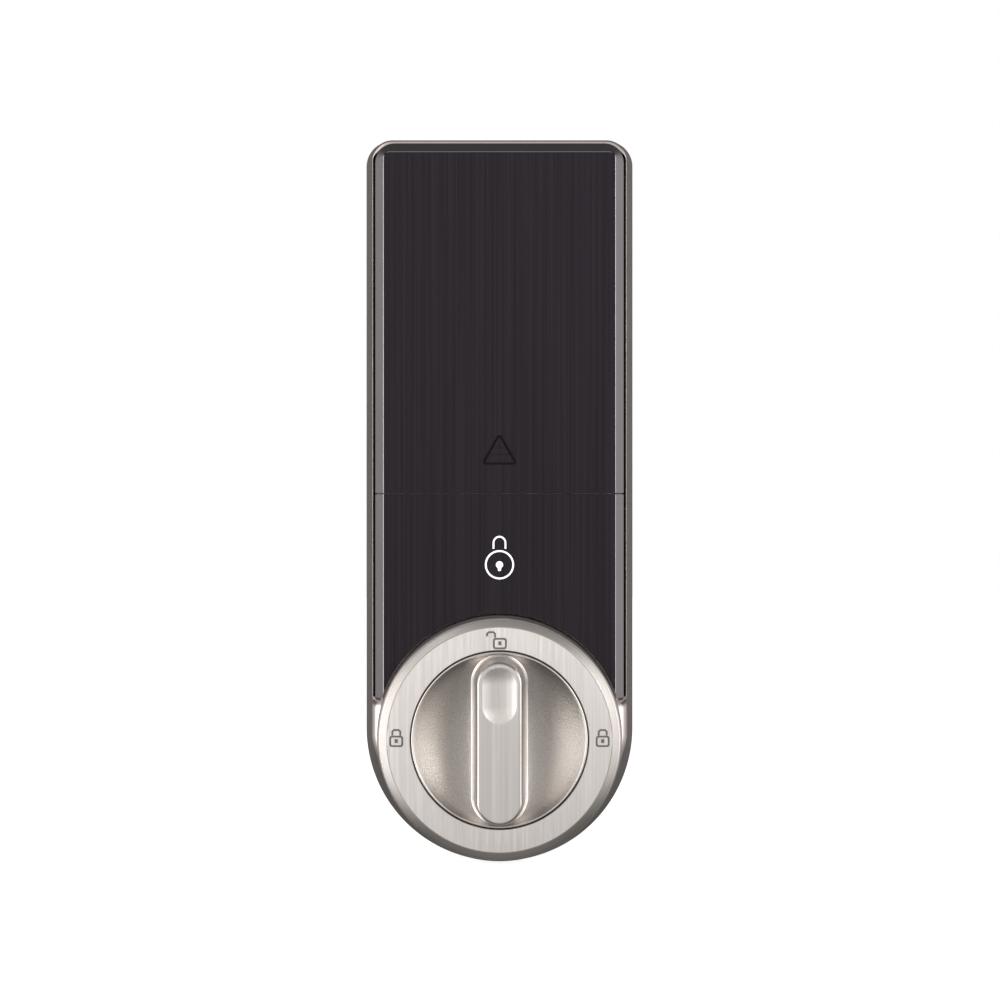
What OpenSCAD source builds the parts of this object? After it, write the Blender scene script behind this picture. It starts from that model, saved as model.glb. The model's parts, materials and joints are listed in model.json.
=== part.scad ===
// Inside unit of a keypad deadbolt lock: battery bay with a slide-up cover, touch key and thumbturn.
// Modules draw in plate coordinates: X right, Y up the door, Z out of the door towards the room.
// to_door() then turns them, so that the door face is the plane Y = 0, the room is at -Y and +Z is up.
// The origin is where the turn axis meets the door face.

/* [Body] */
// Width of the housing where it meets the door
body_w = 70; // [69:0.5:72]
// Height of the housing's top above the turn axis
body_top = 154; // [153:0.5:158]
// Radius of the housing's top corners
corner_r = 6.5; // [5:0.5:8]
// Depth from the door to the housing's front face
front_z = 24.5; // [24.5:0.1:25]
// Thickness of the housing's front wall
wall = 2; // [1.8:0.1:2]

/* [Front covers] */
// Width of the two covers across their skirts
cover_w = 63.5; // [62.5:0.5:63.5]
// Depth from the door to the covers' front face
face_z = 31; // [31:0.1:32]
// Width of the chamfer along the covers' edges
chamfer = 2.6; // [2:0.1:3]
// Height of the seam between the two covers above the turn axis
seam_y = 61.5; // [61:0.5:62]
// Thickness of the brushed sheet on the covers
sheet_t = 0.5; // [0.4:0.1:0.6]

/* [Thumbturn] */
// Outer radius of the bezel ring at its base
ring_r = 31; // [30.5:0.1:31]
// Depth from the door to the bezel ring's face
ring_z = 36; // [35:0.5:37]
// Radius of the knob
knob_r = 22.1; // [21.5:0.1:22.1]
// Depth from the door to the face of the knob's grip bar
grip_z = 45; // [43:0.5:47]
// Depth of the finger scoops beside the grip bar
scoop_d = 4.2; // [3:0.2:5]

/* [Gear train] */
// Teeth on the gear on the spindle
drive_teeth = 48; // [48:12:48]
// Teeth on the large idler wheel
idler_teeth = 36; // [36:12:36]
// Teeth on each pinion
pinion_teeth = 12; // [12:1:12]
// Tooth module of the drive gear
drive_module = 0.75; // [0.75:0.05:0.75]
// Tooth module of the motor stage
motor_module = 0.6; // [0.6:0.05:0.6]

/* [Door interface] */
// Distance between the two through bolts
bolt_spacing = 38; // [36:1:40]
// Radius of the through bolt holes
bolt_hole_r = 2.75; // [2.5:0.05:2.9]
// Distance between the two top screw holes
top_hole_spacing = 30; // [26:1:34]
// Width of the drive blade's slots
blade_slot_w = 2.8; // [2.2:0.1:3]

/* [Hidden] */
$fn = 64;
eps = 0.01;
gap = 0.3;             // working gap between pieces that move past each other
fit = 0.02;            // radial gap of a pressed joint
run = 0.05;            // radial gap of a running joint

// Housing, from the outline at the door to the outline at the front
body_r = body_w / 2;
base_h = 6;            // height of the straight wall at the door
side_taper = 2.7;
top_taper = 3;
arc_taper = 3.8;
cavity_z = front_z - wall;
plate_r = body_r - 2.8;
cavity_r = plate_r + 0.4;
cavity_top = body_top - 2.4;

// Stack behind the front wall
plate_t = 1.6;
rear_z = 4;            // back face of the rear cover
rear_t = base_h - rear_z;

// Covers
skirt_z = front_z + gap;
chamfer_z = face_z - 3.5;
cover_wall = 1.3;
inner_z = face_z - 1.6;
cover_top = body_top - top_taper - 0.5;
panel_bottom = 9.4;
rail_x = 20;
stud_len = 5;
stud_ys = [64, 142];
arrow_y = 69.1;        // base of the arrow in the battery cover
arrow_w = 8.4;
arrow_h = 7.2;
icon_y = 43.6;         // centre of the padlock symbol's round body

// Battery bay
cell_r = 7.25;
cell_len = 49.5;
cell_nub = 1;
cell_pitch = 14.6;
bay_w = 58.6;
bay_y0 = 74.2;
bay_y1 = 133.8;
tray_floor = 9.8;
tray_wall = 0.9;
cell_z = tray_floor + cell_r + 0.1;
contact_t = 0.4;

// Fixing places
post_xy = [[-27, 68], [27, 68], [-27, 144], [27, 144]];
rear_screw_xy = [[-20, 144.5], [20, 144.5], [-27, 48], [27, 48], [0, -25]];
panel_screw_xy = [[-27, 20.5], [27, 20.5], [-27, 57.5], [27, 57.5]];
ring_screw_r = 25.9;
ring_screw_a = [40, 140, 225, 315];
board_screw_xy = [[-20.5, 27], [-20.5, 59], [20.5, 59], [20.5, 44]];
reset_post_xy = [[-11, 147], [11, 147]];

// Main board and what it carries
board_z = 20.5;
board_t = 1.2;

// Turning parts
spindle_r = 4;
socket_r = 6.5;
socket_z0 = 0.8;
socket_z1 = 16.5;
hub_r = 9;
hub_z0 = 17;
hub_flange_r = 15;
hub_flange_z = front_z + gap;
knob_z0 = 26.4;
clip_z = 20;
pin_z = 18.6;
drive_z = 12;
drive_t = 4;
magnet_at = 13;
wheel_z = 7.5;         // back face of the large idler wheel
wheel_t = 3;
idler_a = 60;          // direction from the turn axis to the idler
motor_a = 50;          // direction from the idler to the motor
idler_at = gear_distance(drive_teeth, pinion_teeth, drive_module) * [cos(idler_a), sin(idler_a)];
motor_at = idler_at + gear_distance(idler_teeth, pinion_teeth, motor_module) * [cos(motor_a), sin(motor_a)];
motor_r = 7.5;
motor_z0 = 12.2;
motor_z1 = 22.2;
clamp_ears = [[8, 36], [20.5, 42.8]];
ear_z = 14;

// Reset button
reset_at = [0, 141];
reset_r = 1.8;

// Grip bar: half widths and half lengths of its stadium outlines
foot_w = 7.26;
foot_l = 21.6;
foot_z = ring_z - 0.4;
bar_w = 5.55;
bar_l = 20.1;
bar_bevel = 0.5;
dimple_w = 4.1;
dimple_l = 7.1;
dimple_y = 11.9;
dimple_d = 1.2;
rim_bevel = 0.4;
knob_n = 72;
scoop_n = 6;
disc_z = 31.6;         // the plain disc under the scoops ends here

// ---------------------------------------------------------------- helpers

module to_door() rotate([90, 0, 0]) children();

module at(places, z = 0) for (p = places) translate([p.x, p.y, z]) children();

module tube(r_out, r_in, h) {
    difference() {
        cylinder(r = r_out, h = h);
        translate([0, 0, -1]) cylinder(r = r_in, h = h + 2);
    }
}

// Machine screw that points along +Z from its head's underside at z = 0
module screw(r, len, head_r, head_h) {
    cylinder(r = r, h = len);
    difference() {
        translate([0, 0, -head_h]) cylinder(r = head_r, h = head_h);
        for (a = [0, 90]) rotate(a)
            translate([-head_r * 0.6, -0.25, -head_h - eps]) cube([head_r * 1.2, 0.5, head_h * 0.5]);
    }
}

// Outline with straight sides, a half-round lower end on the turn axis and rounded top corners
module outline(r, top, cr) {
    circle(r);
    translate([-r, 0]) square([2 * r, top - cr]);
    translate([cr - r, 0]) square([2 * (r - cr), top]);
    for (s = [-1, 1]) translate([s * (r - cr), top - cr]) circle(cr);
}

function gear_distance(n1, n2, m) = m * (n1 + n2) / 2;
pressure = 25;
function involute(a) = tan(a) - a * PI / 180;
// Half the angle of a tooth at radius r, in degrees, thinned so that meshed teeth keep clear
function tooth_half(n, m, r) =
    let (pitch = n * m / 2, base = pitch * cos(pressure), a = acos(min(1, base / max(r, base))))
    (PI / (2 * n) + involute(pressure) - involute(a) - 0.05 / pitch) * 180 / PI;
function tooth_radii(n, m) =
    let (pitch = n * m / 2, base = pitch * cos(pressure), root = pitch - 1.2 * m, tip = pitch + 0.9 * m)
    root > base ? [root, pitch, tip] : [root, base, (base + pitch) / 2, pitch, tip];
function polar(r, a) = r * [cos(a), sin(a)];
function gear_points(n, m, first) = [
    for (i = [0:n - 1]) let (a = first + i * 360 / n, rs = tooth_radii(n, m), k = len(rs))
        for (j = [0:2 * k - 1])
            j < k ? polar(rs[j], a - tooth_half(n, m, rs[j]))
                  : polar(rs[2 * k - 1 - j], a + tooth_half(n, m, rs[2 * k - 1 - j]))
];
module gear(n, m, h, first = 0) linear_extrude(h) polygon(gear_points(n, m, first));

// Angle of a tooth on gear 2 that meshes with gear 1, whose tooth is at angle first; direction is from 1 to 2
function mesh_angle(n1, n2, first, direction) =
    direction + 180 + 360 / n2 * (0.5 - (first - direction) * n1 / 360);

// ---------------------------------------------------------------- housing and door side

module housing_shell() {
    difference() {
        union() {
            linear_extrude(base_h) outline(body_r, body_top, corner_r);
            hull() {
                translate([0, 0, base_h - eps]) linear_extrude(eps) outline(body_r, body_top, corner_r);
                translate([0, 0, front_z - eps]) linear_extrude(eps) {
                    circle(body_r - arc_taper);
                    translate([side_taper - body_r, 6]) square([body_w - 2 * side_taper, 10]);
                    for (s = [-1, 1])
                        translate([s * (body_r - side_taper - 5), body_top - top_taper - 5]) circle(5);
                }
            }
        }
        translate([0, 0, -1]) linear_extrude(base_h + 1) outline(cavity_r, cavity_top, 4.5);
        linear_extrude(cavity_z) {
            circle(29.2);
            translate([-30.4, 10]) square([60.8, 139]);
        }
        // pocket for the plate's lower hook
        translate([-9, -34, 2.2]) cube([18, 3, 1.8]);
    }
}

module housing() color([0.45, 0.42, 0.41]) {
    difference() {
        union() {
            housing_shell();
            at(post_xy, base_h + 0.4) cylinder(r = 3.2, h = cavity_z - base_h);
            at(rear_screw_xy, base_h) cylinder(r = 2.6, h = cavity_z - base_h + eps);
            at(reset_post_xy, 17.2) cylinder(r = 1.8, h = cavity_z - 17.2 + eps);
            at(board_screw_xy, board_z + board_t) cylinder(r = 2, h = 1);
            // T-shaped studs that the battery cover's rails ride on
            for (s = [-1, 1], y = stud_ys) translate([s * rail_x, y, front_z - eps]) {
                translate([-1, 0, 0]) cube([2, stud_len, 2]);
                translate([-2.2, 0, 1.8]) cube([4.4, stud_len, 1.4]);
            }
        }
        translate([-bay_w / 2, bay_y0, cavity_z - 1]) cube([bay_w, bay_y1 - bay_y0, 4]);
        translate([0, 0, cavity_z - 1]) cylinder(r = 11 + fit, h = 4);
        light_window(cavity_z - 1, 4, 0.2);
        translate([reset_at.x, reset_at.y, cavity_z - 1]) cylinder(r = reset_r + 0.2, h = 4);
        at(post_xy) cylinder(r = 1.7, h = front_z + 1);
        at(post_xy, front_z - 2.2) cylinder(r = 3, h = 3);
        at(rear_screw_xy, base_h - eps) cylinder(r = 1.2 + fit, h = 7);
        at(panel_screw_xy, cavity_z - 1) cylinder(r = 1.3, h = 4);
        for (a = ring_screw_a) rotate(a) translate([ring_screw_r, 0, cavity_z - 1]) cylinder(r = 1.5, h = 4);
        at(board_screw_xy, board_z + board_t - eps) cylinder(r = 0.9 + fit, h = 2.2);
        at(reset_post_xy, 17.1) cylinder(r = 0.9 + fit, h = 4);
    }
}

module cable_window(z, h) translate([-18, 14, z]) cube([12, 8, h]);

module mounting_plate() color([0.62, 0.62, 0.6]) {
    difference() {
        union() {
            linear_extrude(plate_t) outline(plate_r, cavity_top - 0.4, 4.3);
            at(post_xy, plate_t - eps) cylinder(r = 3, h = rear_z + 0.6);
            // hook that catches the housing's lower wall
            translate([-8, -30.4, plate_t - eps]) cube([16, 2, 1.2]);
            translate([-8, -33.4, plate_t + 1]) cube([16, 5, 0.8]);
        }
        translate([0, 0, -1]) cylinder(r = 12, h = 4);
        for (s = [-1, 1]) {
            translate([s * bolt_spacing / 2, 0, -1]) cylinder(r = bolt_hole_r, h = 4);
            translate([s * top_hole_spacing / 2, 128, -1]) cylinder(r = 2.2, h = 4);
        }
        cable_window(-1, 4);
        at(post_xy, -1) cylinder(r = 1.5 + fit, h = 10);
    }
}

module rear_cover() color([0.13, 0.13, 0.14]) {
    difference() {
        union() {
            translate([0, 0, rear_z]) linear_extrude(rear_t) outline(plate_r, cavity_top - 0.4, 4.3);
            translate([0, 0, 3]) cylinder(r = 9, h = 4.5);
            translate([idler_at.x, idler_at.y, base_h - eps]) cylinder(r = 3.5, h = 1.2);
            at(clamp_ears, base_h - eps) cylinder(r = 2.2, h = ear_z - base_h);
            for (s = [-1, 1]) translate([s * 9.2, -9.2, base_h - eps]) cylinder(r = 1.8, h = 2);
            // legs that carry the battery tray
            for (x = [-22, 22], y = [82, 126]) translate([x, y, base_h - eps]) cylinder(r = 3, h = 2.6);
        }
        translate([0, 0, 2]) cylinder(r = socket_r + run, h = 7);
        for (s = [-1, 1]) translate([s * bolt_spacing / 2, 0, 2]) cylinder(r = 6, h = 6);
        cable_window(2, 6);
        at(post_xy, 3) cylinder(r = 3.4, h = 4);
        at(rear_screw_xy, 3) cylinder(r = 1.3, h = 4);
        translate([idler_at.x, idler_at.y, rear_z + 0.5]) cylinder(r = 1.5 + fit, h = 4);
        at(clamp_ears, ear_z - 6.5) cylinder(r = 1 + fit, h = 7);
    }
}

module assembly_screws() color([0.7, 0.7, 0.7])
    at(post_xy, front_z - 2.2) mirror([0, 0, 1]) screw(1.5, front_z - 3.2, 2.8, 2);

module rear_cover_screws() color([0.35, 0.35, 0.36]) at(rear_screw_xy, rear_z) screw(1.2, 8, 2.2, 1.3);

// ---------------------------------------------------------------- front covers

// Cross-section of both covers, from skirt to skirt
module cover_section() {
    h = cover_w / 2;
    face = h - chamfer;
    i = h - cover_wall;
    polygon([
        [-h, skirt_z], [-h, chamfer_z], [-face, face_z], [face, face_z], [h, chamfer_z], [h, skirt_z],
        [i, skirt_z], [i, chamfer_z - 0.5], [face - 0.6, inner_z],
        [0.6 - face, inner_z], [-i, chamfer_z - 0.5], [-i, skirt_z],
    ]);
}

module sheet_recess(y0, y1, side) {
    w = cover_w / 2 - chamfer - side;
    translate([-w, y0, face_z - sheet_t]) cube([2 * w, y1 - y0, 2]);
}

module lower_panel() color([0.2, 0.19, 0.2]) {
    top = seam_y - 0.2;
    difference() {
        union() {
            translate([0, top, 0]) rotate([90, 0, 0]) linear_extrude(top - panel_bottom) cover_section();
            at(panel_screw_xy, front_z + eps) cylinder(r = 2.2, h = inner_z - front_z);
        }
        translate([0, 0, skirt_z - 2]) cylinder(r = ring_r + 0.35, h = 12);
        sheet_recess(0, seam_y + 1, 0.2);
        at(panel_screw_xy, front_z - 1) cylinder(r = 1 + fit, h = 5.5);
        light_window(inner_z - 1, 3, 0.2);
    }
}

// Padlock symbol with a round body, drawn as one flat outline
module padlock_symbol(grow = 0) {
    line = 0.25 + grow;
    difference() {
        circle(3.45 + line);
        circle(3.45 - line);
    }
    difference() {
        union() {
            translate([0, 5.45]) circle(1.58 + line);
            translate([-1.58 - line, 3.9]) square([3.16 + 2 * line, 1.55]);
        }
        translate([0, 5.45]) circle(1.58 - line);
        translate([line - 1.58, 2]) square([3.16 - 2 * line, 3.45]);
        circle(3.45 + line - eps);
    }
    circle(0.9 + grow);
    translate([-0.42 - grow, -1.6 - grow]) square([0.84 + 2 * grow, 1.6]);
}

module panel_faceplate() color([0.16, 0.15, 0.16]) {
    w = cover_w / 2 - chamfer - 0.25;
    top = seam_y - 0.2;
    difference() {
        translate([-w, 10, face_z - sheet_t]) cube([2 * w, top - 10, sheet_t]);
        translate([0, 0, face_z - 2]) cylinder(r = ring_r + 0.4, h = 3);
        translate([0, icon_y, face_z - 1]) linear_extrude(2) padlock_symbol(0.04);
    }
}

module touch_icon() color([0.95, 0.95, 0.95])
    translate([0, icon_y, face_z - sheet_t + 0.02]) linear_extrude(sheet_t - 0.02) padlock_symbol();

module panel_screws() color([0.35, 0.35, 0.36]) at(panel_screw_xy, cavity_z) screw(1, 5.5, 2.1, 1.4);

// Round window with a tab behind the symbol's shackle
module light_window(z, h, grow = 0) translate([0, icon_y, z]) {
    cylinder(r = 5 + grow, h = h);
    translate([-2.5 - grow, 0, 0]) cube([5 + 2 * grow, 7.9 + grow, h]);
}

module light_guide() color([0.9, 0.92, 0.95, 0.6]) light_window(23, face_z - sheet_t - 23);

module touch_electrode() color([0.72, 0.45, 0.3])
    translate([0, icon_y, inner_z - 0.42]) tube(11, 8.6, 0.4);

module bezel_ring() color([0.78, 0.75, 0.73]) {
    face_in = knob_r + gap;
    difference() {
        union() {
            rotate_extrude() polygon([
                [face_in, front_z], [face_in, ring_z - 0.4], [face_in + 0.4, ring_z], [28, ring_z],
                [ring_r - 0.7, ring_z - 1.1], [ring_r, front_z + 1.5], [ring_r, front_z],
                [ring_r - 1.5, front_z], [ring_r - 1.8, ring_z - 3], [face_in + 1.5, ring_z - 3],
                [face_in + 1.5, front_z],
            ]);
            for (a = ring_screw_a) rotate(a)
                translate([ring_screw_r, 0, front_z]) cylinder(r = 2.6, h = ring_z - 2 - front_z);
        }
        for (a = ring_screw_a) rotate(a)
            translate([ring_screw_r, 0, front_z - 1]) cylinder(r = 1.2 + fit, h = 8);
    }
}

module ring_screws() color([0.35, 0.35, 0.36])
    for (a = ring_screw_a) rotate(a) translate([ring_screw_r, 0, cavity_z]) screw(1.2, 8, 2.4, 1.5);

module knob_bush() color([0.9, 0.88, 0.82]) difference() {
    union() {
        translate([0, 0, cavity_z - 1.4]) cylinder(r = 12.4, h = 1.38);
        translate([0, 0, cavity_z - 0.1]) cylinder(r = 11, h = wall + 0.1);
    }
    cylinder(r = hub_r + run, h = 40);
}

// Flat outline of the battery cover: square at the seam, rounded at the top
module cover_outline(h, top, cr) {
    y0 = seam_y + 0.2;
    translate([-h, y0]) square([2 * h, top - cr - y0]);
    for (s = [-1, 1]) translate([s * (h - cr), top - cr]) circle(cr);
    translate([cr - h, y0]) square([2 * (h - cr), top - y0]);
}

module cover_block(h_low, h_high, top_low, top_high, z_low, z_mid, z_high, cr_low, cr_high) {
    translate([0, 0, z_low]) linear_extrude(z_mid - z_low) cover_outline(h_low, top_low, cr_low);
    hull() {
        translate([0, 0, z_mid - eps]) linear_extrude(eps) cover_outline(h_low, top_low, cr_low, $fn = 32);
        translate([0, 0, z_high - eps]) linear_extrude(eps) cover_outline(h_high, top_high, cr_high, $fn = 32);
    }
}

module arrow_outline(grow = 0) hull() {
    r = 0.8 + grow;
    for (s = [-1, 1]) translate([s * (arrow_w / 2 - 0.8), 0.8]) circle(r);
    translate([0, arrow_h - 0.8]) circle(r);
}

module battery_cover() color([0.2, 0.19, 0.2]) {
    h = cover_w / 2;
    i = h - cover_wall;
    face = h - chamfer;
    difference() {
        cover_block(h, face, cover_top, cover_top - 2.5, skirt_z, chamfer_z, face_z, 5, 1.2);
        difference() {
            cover_block(i, face - 0.6, cover_top - cover_wall, cover_top - 3.1,
                        skirt_z - 1, chamfer_z - 0.5, inner_z, 3.7, 1);
        }
        translate([-i, seam_y - 1, skirt_z - 1]) cube([2 * i, 2, chamfer_z - skirt_z]);
        sheet_recess(seam_y - 1, cover_top - 2.7, 0.2);
        // finger grip inside the arrow, with ribs left standing
        translate([0, arrow_y, face_z - 1.1]) linear_extrude(2) difference() {
            arrow_outline(-0.15);
            for (y = [1.9, 3.3, 4.7]) translate([-5, y]) square([10, 0.5]);
        }
    }
    for (s = [-1, 1], side = [-1, 1]) translate([s * rail_x, 63, 0]) {
        translate([side > 0 ? 2.6 : -3.6, 0, skirt_z + 0.2]) cube([1, 85, inner_z - skirt_z]);
        translate([side > 0 ? 1.3 : -2.7, 0, skirt_z + 0.2]) cube([1.4, 85, 1]);
    }
}

module cover_faceplate() color([0.16, 0.15, 0.16]) {
    w = cover_w / 2 - chamfer - 0.25;
    y0 = seam_y + 0.2;
    difference() {
        translate([-w, y0, face_z - sheet_t + eps]) cube([2 * w, cover_top - 2.75 - y0, sheet_t - eps]);
        translate([0, arrow_y, face_z - 1]) linear_extrude(2) arrow_outline();
    }
}

// ---------------------------------------------------------------- battery bay

module battery_tray() color([0.16, 0.16, 0.17]) {
    x = bay_w / 2 + tray_wall;
    z0 = tray_floor - 1.2;
    difference() {
        translate([-x, bay_y0 - 1.2, z0]) cube([2 * x, bay_y1 - bay_y0 + 2.4, cavity_z - 0.1 - z0]);
        translate([-bay_w / 2, bay_y0, tray_floor]) cube([bay_w, bay_y1 - bay_y0, 20]);
    }
    // low ribs that part the cells
    for (i = [-1:1]) translate([i * cell_pitch - 0.3, bay_y0 + 9, tray_floor - eps])
        cube([0.6, bay_y1 - bay_y0 - 18, 2.2]);
}

function cell_x(i) = (i - 2.5) * cell_pitch;
function cell_up(i) = i % 2 == 1;
cell_gap = 0.9;        // from the bay's end wall to a cell's positive tip

// Draws at the wall that touches the positive end of cell i (end = 1) or its negative end (end = -1), +Y into the bay
module at_cell_end(i, end) {
    top = cell_up(i) == (end > 0);
    translate([cell_x(i), top ? bay_y1 : bay_y0, cell_z]) mirror([0, top ? 1 : 0, 0]) children();
}

module battery(i) color([0.2, 0.45, 0.3]) at_cell_end(i, 1) rotate([-90, 0, 0]) {
    translate([0, 0, cell_gap]) cylinder(r = 2.75, h = cell_nub + eps);
    translate([0, 0, cell_gap + cell_nub]) cylinder(r = cell_r, h = cell_len);
}

spring_len = bay_y1 - bay_y0 - cell_gap - cell_nub - cell_len - contact_t - 0.1;

module battery_springs() color([0.75, 0.75, 0.74])
    for (i = [1:4]) at_cell_end(i, -1) translate([0, contact_t + 0.05, 0])
        rotate([-90, 0, 0]) cylinder(r1 = 4.4, r2 = 2.4, h = spring_len);

module battery_contacts() color([0.78, 0.77, 0.72])
    for (i = [1:4], e = [-1, 1]) at_cell_end(i, e)
        translate([-5.5, 0.02, -6.2]) cube([11, contact_t, 12]);

module battery_leads() color([0.6, 0.1, 0.1]) for (x = [-6, -3])
    translate([x, 60, 19.6]) rotate([-90, 0, 0]) cylinder(r = 0.7, h = bay_y0 - 1.25 - 60);

// ---------------------------------------------------------------- electronics

module main_board() color([0.08, 0.3, 0.16]) translate([0, 0, board_z]) difference() {
    linear_extrude(board_t) {
        translate([-23.5, 24]) square([35.5, 38]);
        translate([11, 41]) square([12.5, 21]);
    }
    at(board_screw_xy, -1) cylinder(r = 1.1, h = 4);
}

module board_screws() color([0.7, 0.7, 0.7]) {
    at(board_screw_xy, board_z) screw(0.9, 3, 1.8, 1.1);
    at(reset_post_xy, 16) screw(0.9, 5, 1.8, 1.1);
}

module board_chips() color([0.08, 0.08, 0.09]) {
    translate([-12, 32, board_z - 1.02]) cube([7, 7, 1]);
    translate([-1, 30, board_z - 1.62]) cube([5, 6, 1.6]);
    translate([2, 54, board_z - 2.02]) cube([6, 5, 2]);
    for (p = [[-17, 38], [3, 47]]) translate([p.x, p.y, board_z - 5.02]) cylinder(r = 2.5, h = 5);
}

module radio_module() color([0.75, 0.75, 0.73]) translate([-16.5, 42.5, board_z - 2.4]) difference() {
    cube([13, 16, 2.38]);
    translate([4, 4, -eps]) cube([5, 5, 0.3]);
}

module buzzer() color([0.1, 0.1, 0.11]) translate([15.5, 51, board_z - 3.52]) tube(5.5, 1, 3.5);

module cable_header() color([0.9, 0.88, 0.8]) translate([-16.5, 24.4, board_z - 5.02]) difference() {
    cube([11, 5.6, 5]);
    translate([1, 1, -1]) cube([9, 3.6, 4.5]);
}

module status_leds() color([0.95, 0.95, 0.85])
    for (x = [-2.4, 0, 2.4]) translate([x - 0.8, icon_y - 0.8, board_z + board_t]) cube([1.6, 1.6, 0.8]);

module sensor_board() color([0.08, 0.3, 0.16]) translate([0, 0, base_h + 2]) intersection() {
    tube(17, 9.4, 1.2);
    translate([-20, -20, -1]) cube([40, 23, 4]);
}

module hall_sensors() color([0.08, 0.08, 0.09]) for (a = [180, 270, 360]) rotate(a)
    translate([magnet_at - 1.5, -1.5, base_h + 3.22]) cube([3, 3, 1]);

module reset_board() color([0.08, 0.3, 0.16]) difference() {
    translate([-14, 137, 16]) cube([28, 12, 1.2]);
    at(reset_post_xy, 15) cylinder(r = 1.1, h = 4);
}

module reset_switch() color([0.15, 0.15, 0.16]) translate([reset_at.x, reset_at.y, 17.22]) {
    translate([-3, -3, 0]) cube([6, 6, 3.5]);
    cylinder(r = 1.6, h = 3.75);
}

module reset_button() color([0.85, 0.83, 0.8]) translate([reset_at.x, reset_at.y, 21.75]) {
    cylinder(r = 2.7, h = 0.45);
    cylinder(r = reset_r, h = 3.3);
}

// ---------------------------------------------------------------- gear train

module motor() color([0.7, 0.7, 0.68]) translate([motor_at.x, motor_at.y, 0]) difference() {
    union() {
        translate([0, 0, motor_z0]) cylinder(r = motor_r, h = motor_z1 - motor_z0);
        translate([0, 0, motor_z0 - 0.8]) cylinder(r = 3, h = 1);
    }
    translate([0, 0, motor_z0 - 1]) cylinder(r = 1 + run, h = 3.2);
}

module motor_clamp() color([0.62, 0.62, 0.6]) difference() {
    union() {
        translate([motor_at.x, motor_at.y, ear_z]) cylinder(r = motor_r + 1.3, h = 5);
        for (e = clamp_ears) translate([e.x, e.y, ear_z]) {
            cylinder(r = 2.6, h = 2);
            rotate(atan2(motor_at.y - e.y, motor_at.x - e.x)) translate([0, -2.6, 0]) cube([5.5, 5.2, 2]);
        }
    }
    translate([motor_at.x, motor_at.y, ear_z - 1]) cylinder(r = motor_r + fit, h = 8);
    at(clamp_ears, ear_z - 1) cylinder(r = 1.1, h = 8);
}

module clamp_screws() color([0.35, 0.35, 0.36])
    at(clamp_ears, ear_z + 2) mirror([0, 0, 1]) screw(1, 8, 2, 1.3);

module motor_shaft() color([0.8, 0.8, 0.8])
    translate([motor_at.x, motor_at.y, wheel_z - 0.5]) cylinder(r = 1, h = 6);

module motor_pinion() color([0.85, 0.68, 0.3]) translate([motor_at.x, motor_at.y, wheel_z - 0.2]) {
    wheel_tooth = 0;
    difference() {
        gear(pinion_teeth, motor_module, wheel_t + 0.4,
             mesh_angle(idler_teeth, pinion_teeth, wheel_tooth, motor_a));
        translate([0, 0, -1]) cylinder(r = 1 + fit, h = 6);
    }
}

module idler_gear() color([0.9, 0.88, 0.82]) translate([idler_at.x, idler_at.y, wheel_z]) difference() {
    union() {
        gear(idler_teeth, motor_module, wheel_t);
        translate([0, 0, wheel_t - eps])
            gear(pinion_teeth, drive_module, drive_z + drive_t + 0.4 - wheel_z - wheel_t,
                 mesh_angle(drive_teeth, pinion_teeth, 0, idler_a));
    }
    translate([0, 0, -1]) cylinder(r = 1.5 + run, h = 12);
}

module idler_pin() color([0.8, 0.8, 0.8]) translate([idler_at.x, idler_at.y, rear_z + 0.5]) difference() {
    cylinder(r = 1.5, h = 13.7);
    translate([0, 0, 12.2]) tube(3, 1.2, 0.7);
}

module idler_clip() color([0.6, 0.6, 0.6]) translate([idler_at.x, idler_at.y, rear_z + 12.72]) difference() {
    tube(3, 1.22, 0.66);
    translate([-0.9, 0, -1]) cube([1.8, 4, 3]);
}

module drive_gear() color([0.9, 0.88, 0.82]) translate([0, 0, drive_z]) difference() {
    gear(drive_teeth, drive_module, drive_t);
    translate([0, 0, -1]) cylinder(r = socket_r + fit, h = 8);
    translate([0, -magnet_at, -1]) cylinder(r = 1.5 + fit, h = 2.7);
    translate([0, 0, 2.6]) tube(15.5, 9.5, 2);
}

module position_magnet() color([0.7, 0.7, 0.72]) translate([0, -magnet_at, drive_z + 0.05]) cylinder(r = 1.5, h = 1.6);

module spindle() color([0.75, 0.75, 0.74]) difference() {
    union() {
        translate([0, 0, socket_z0]) cylinder(r = socket_r, h = socket_z1 - socket_z0);
        translate([0, 0, socket_z1 - 1]) cylinder(r = spindle_r, h = knob_z0 - 0.2 - socket_z1 + 1);
    }
    // crossed slots for the drive blade of the outside unit
    for (a = [0, 90]) rotate(a) translate([-4.6, -blade_slot_w / 2, 0]) cube([9.2, blade_slot_w, 10]);
    translate([-10, 0, pin_z]) rotate([0, 90, 0]) cylinder(r = 1 + fit, h = 20);
}

module spindle_pin() color([0.6, 0.6, 0.6])
    translate([-8.8, 0, pin_z]) rotate([0, 90, 0]) cylinder(r = 1, h = 17.6);

module knob_hub() color([0.72, 0.7, 0.66]) difference() {
    union() {
        translate([0, 0, hub_z0]) cylinder(r = hub_r, h = knob_z0 - hub_z0);
        translate([0, 0, hub_flange_z]) cylinder(r = hub_flange_r, h = knob_z0 - hub_flange_z);
    }
    translate([0, 0, hub_z0 - 1]) cylinder(r = spindle_r + fit, h = 12);
    translate([-10, 0, pin_z]) rotate([0, 90, 0]) cylinder(r = 1 + fit, h = 20);
    translate([0, 0, clip_z]) tube(hub_r + 1, 8.2, 0.9);
    for (s = [-1, 1]) translate([0, s * 12, 0]) {
        translate([0, 0, hub_flange_z - 1]) cylinder(r = 1.2 + fit, h = 4);
        translate([0, 0, hub_flange_z - eps]) cylinder(r1 = 2.45, r2 = 1.22, h = 1.23);
    }
}

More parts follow.
